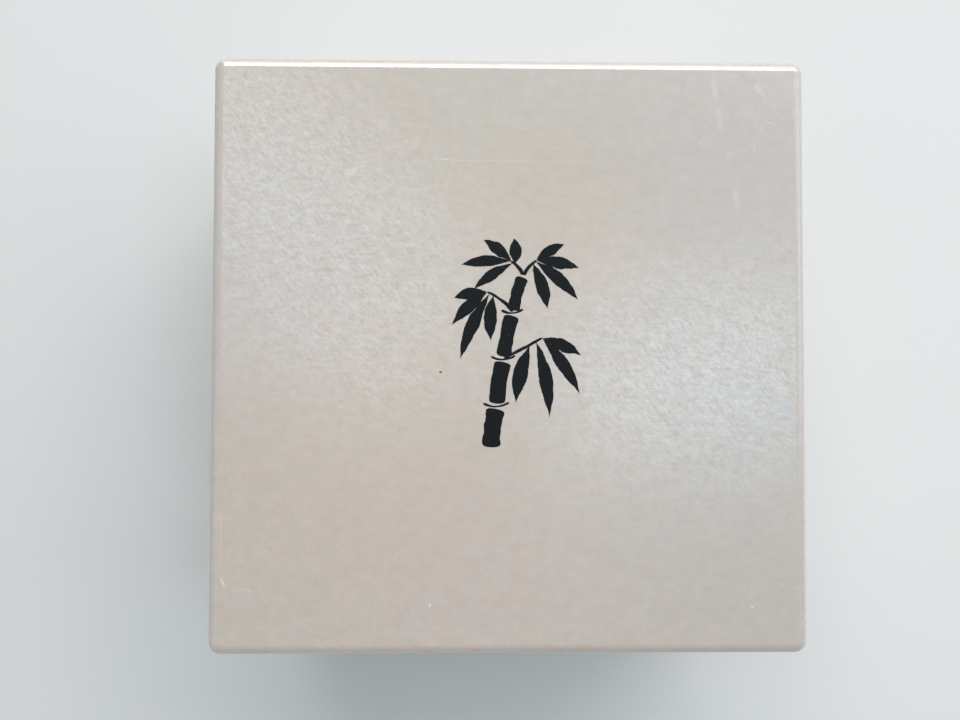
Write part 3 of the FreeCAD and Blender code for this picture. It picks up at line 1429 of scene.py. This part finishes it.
@dataclass
class Studio:
    """The pale floor, the soft lamps and the camera above the lid."""

    lid_top: float
    camera_offset: Point = (-8.96 * MM, -6.02 * MM)
    camera_rise: float = 166.3 * MM
    camera_turn: tuple[float, float, float] = (1.635, -1.010, 0.132)
    sensor: float = 36.0
    lens: float = 31.18
    clip_start: float = 5.0 * MM
    floor_colour: Colour = (0.665, 0.655, 0.645)
    haze_colour: Colour = (0.80, 0.80, 0.795)
    haze_from: float = 0.22
    haze_to: float = 0.75
    floor_reach: float = 3.0
    sky_colour: Colour = (0.92, 0.97, 1.0)
    sky_strength: float = 0.21
    lamps: tuple[Softbox, ...] = (
        Softbox("window_behind", (0.200, 1.000, 1.050), 1.75, 0.90, 18.3, WINDOW_WHITE),
        Softbox("window_low", (0.15, 1.32, 0.40), 2.4, 0.50, 4.8, WINDOW_WHITE),
        Softbox("window_right", (0.85, 0.31, 0.58), 0.90, 0.84, 3.3, (0.92, 0.98, 1.0)),
        Softbox("glow_left", (-0.240, 0.215, 1.075), 0.33, 0.60, 2.0, (0.66, 0.88, 1.0)),
        Softbox("glow_right", (0.320, 0.010, 1.075), 0.25, 0.40, 1.75, (0.60, 0.84, 1.0)),
        Softbox("low_front_left", (-0.95, -1.05, 0.26), 1.1, 0.4, 4.8, LAMP_WHITE, mirrored=False),
        Softbox("low_front_right", (0.75, -1.15, 0.26), 0.9, 0.4, 3.9, LAMP_WHITE, mirrored=False),
    )

    def build(self) -> None:
        """Sets up everything round the box."""
        self._floor()
        self._sky()
        for lamp in self.lamps:
            lamp.build(Vector((0, 0, self.lid_top / 2)))
        self._camera()
        bpy.context.scene.view_settings.view_transform = "Standard"
        log.info("studio: floor, %d lamps, camera", len(self.lamps))

    def _floor(self) -> None:
        """A wide pale floor that fades into the backdrop."""
        mesh = bmesh.new()
        bmesh.ops.create_circle(mesh, cap_ends=True, segments=96, radius=self.floor_reach)
        data = bpy.data.meshes.new("studio_floor")
        mesh.to_mesh(data)
        mesh.free()
        floor = in_scene("studio_floor", data)
        floor.data.materials.append(self._floor_material())
        floor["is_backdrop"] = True

    def _floor_material(self) -> bpy.types.Material:
        """Matt pale floor near the box, and the backdrop's own colour far from it.

        Returns:
            The material.
        """
        graph = NodeGraph(bpy.data.materials.new("studio_floor"))
        place = graph.add("ShaderNodeTexCoord").outputs["Object"]
        distance = graph.vector("LENGTH", place)
        rays = graph.add("ShaderNodeLightPath").outputs
        seen = graph.math("MAXIMUM", rays["Is Camera Ray"], rays["Is Glossy Ray"])
        haze = graph.math("MULTIPLY", graph.step(distance, self.haze_from, self.haze_to), seen)
        inputs = {"Base Color": (*self.floor_colour, 1.0), "Roughness": 0.85, "Specular IOR Level": 0.2}
        matt = graph.add("ShaderNodeBsdfPrincipled", inputs).outputs["BSDF"]
        glow = graph.add("ShaderNodeEmission", {"Color": (*self.haze_colour, 1.0)}).outputs["Emission"]
        return graph.show(graph.add("ShaderNodeMixShader", {0: haze, 1: matt, 2: glow}))

    def _sky(self) -> None:
        """Even light from all round, and the backdrop's colour where the camera sees past the floor."""
        world = bpy.data.worlds.new("studio")
        bpy.context.scene.world = world
        graph = NodeGraph(world)
        seen = graph.add("ShaderNodeLightPath").outputs["Is Camera Ray"]
        light = {"Color": (*self.sky_colour, 1.0), "Strength": self.sky_strength}
        even = graph.add("ShaderNodeBackground", light).outputs[0]
        backdrop = graph.add("ShaderNodeBackground", {"Color": (*self.haze_colour, 1.0)}).outputs[0]
        graph.show(graph.add("ShaderNodeMixShader", {0: seen, 1: even, 2: backdrop}))

    def _camera(self) -> None:
        """The camera above the lid, a little off its middle and almost level."""
        data = bpy.data.cameras.new("camera")
        data.sensor_fit = "HORIZONTAL"
        data.sensor_width = self.sensor
        data.lens = self.lens
        data.clip_start = self.clip_start
        camera = in_scene("camera", data)
        camera.location = (*self.camera_offset, self.lid_top + self.camera_rise)
        camera.rotation_euler = Euler([math.radians(angle) for angle in self.camera_turn], "XYZ")
        bpy.context.scene.camera = camera


# The wear of the lid's top, by x, y, length, width, turn and strength
LID_WEAR = (
    WearMark(-13.2, 39.2, 5.6, 0.30, 2.0, 0.35),
    WearMark(0.0, 38.9, 46.0, 0.32, 0.0, 0.16),
    WearMark(41.4, 54.0, 7.2, 1.5, -82.0, 0.17),
    WearMark(42.4, 47.6, 6.4, 1.4, -83.0, 0.14),
    WearMark(44.4, 40.4, 2.2, 1.4, -60.0, 0.13),
    WearMark(45.8, 31.2, 6.0, 1.6, -84.0, 0.13),
    WearMark(50.7, 53.6, 4.6, 1.5, -49.0, 0.18),
    WearMark(52.6, 47.1, 1.6, 0.6, 3.0, 0.18),
    WearMark(49.5, 41.4, 0.9, 0.7, 60.0, 0.24),
    WearMark(38.5, 42.7, 0.9, 0.7, -30.0, 0.16),
    WearMark(-57.3, -36.4, 15.0, 0.40, 91.0, 0.16),
    WearMark(-56.8, -45.4, 3.6, 0.75, -68.0, 0.34),
    WearMark(-52.8, -46.8, 5.0, 0.60, -4.0, 0.14),
    WearMark(-15.9, -50.0, 1.0, 0.7, 80.0, 0.55),
    WearMark(48.4, -50.4, 0.9, 0.6, 40.0, 0.45),
    WearMark(-13.9, -3.7, 0.75, 0.6, 0.0, 0.95, Tone.DARK),
)
# The tint patches of the lid's top, by x, y, reach and tint: the bluer ones near the top, left and right
# edges are painted reflection, the darker one at the lower right is painted shade, and the pinker and greener
# ones shift the tone
LID_TINTS_AND_PAINTED_LIGHT = (
    Toning(-28.0, -18.0, 46.0, (1.024, 0.990, 0.972)),
    Toning(2.0, 40.0, 40.0, (0.996, 1.012, 0.990)),
    Toning(5.0, 24.0, 28.0, (1.014, 0.990, 0.985)),
    Toning(-6.0, -50.0, 44.0, (1.004, 0.986, 1.000)),
    Toning(-56.0, 16.0, 40.0, (0.985, 1.000, 1.040)),
    Toning(52.0, 4.0, 42.0, (0.975, 0.998, 1.030)),
    Toning(46.0, 50.0, 44.0, (0.965, 1.010, 1.065)),
    Toning(0.0, 64.0, 30.0, (0.985, 1.018, 1.060)),
    Toning(54.0, -38.0, 52.0, (0.945, 0.970, 1.000)),
)

LACQUERED = WoodFinish(pale=(0.612, 0.530, 0.465), deep=(0.416, 0.348, 0.294), ring_strength=0.26,
                       fibre_strength=0.30, cloud_strength=0.12, roughness=0.33, relief_mm=0.006,
                       sheen_spread=0.5)
LACQUERED_TOP = WoodFinish(pale=(0.600, 0.522, 0.465), deep=(0.424, 0.360, 0.313), ring_strength=0.02,
                           fibre_strength=0.10, cloud_strength=0.10, mottle_strength=0.42, roughness=0.24,
                           roughness_spread=0.05, relief_mm=0.003, sheen_spread=1.05, sheen_lean=0.25,
                           speck_strength=0.22, end_grain_from=58.8, edge_polish_and_painted_reflection=EdgePolishAndPaintedReflection(), toning=LID_TINTS_AND_PAINTED_LIGHT,
                           wear=LID_WEAR)
BARE = WoodFinish(pale=(0.66, 0.545, 0.430), deep=(0.47, 0.365, 0.265), roughness=0.62, specular=0.35,
                  relief_mm=0.006, fibre_strength=0.24)
BARE_LINING = WoodFinish(pale=(0.64, 0.525, 0.400), deep=(0.45, 0.345, 0.240), roughness=0.58, specular=0.35,
                         relief_mm=0.006, fibre_strength=0.26, ring_spacing=2.2)
TONGUE = WoodFinish(pale=(0.52, 0.40, 0.28), deep=(0.36, 0.26, 0.17), roughness=0.6, ring_spacing=1.8)


def main() -> None:
    """Builds the box in order, and reports each piece."""
    logging.basicConfig(level=logging.INFO, format="%(name)s: %(message)s")
    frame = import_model()
    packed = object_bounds()
    nodes = frame["nodes"]
    floor_low, floor_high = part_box("floor_panel")
    groove = Groove(floor_low.z, floor_high.z, GROOVE_DEPTH)
    lid_wall_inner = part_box("lid_front_wall")[1]
    spigot_half = -lid_wall_inner.y - SPIGOT_CLEARANCE
    log.info("walls are grooved %.1f mm deep for the floor", groove.depth / MM)

    Walls("base", LACQUERED, BARE, outer_top_radius=RIM_RADIUS, outer_foot_radius=FOOT_RADIUS,
          groove=groove).build(nodes)
    Floor(BARE).build()
    Lining(BARE_LINING).build()
    Walls("lid", LACQUERED, BARE, outer_foot_radius=RIM_RADIUS,
          inner_foot_radius=LID_MOUTH_RADIUS).build(nodes)
    Top(LACQUERED_TOP, BARE, wall_top=lid_wall_inner.z, spigot_half=spigot_half).build()
    InkSprig(InkFinish()).build()
    Tongues(TONGUE).dress(nodes)
    Studio(lid_top=packed[1].z).build()


if __name__ == "__main__":
    main()
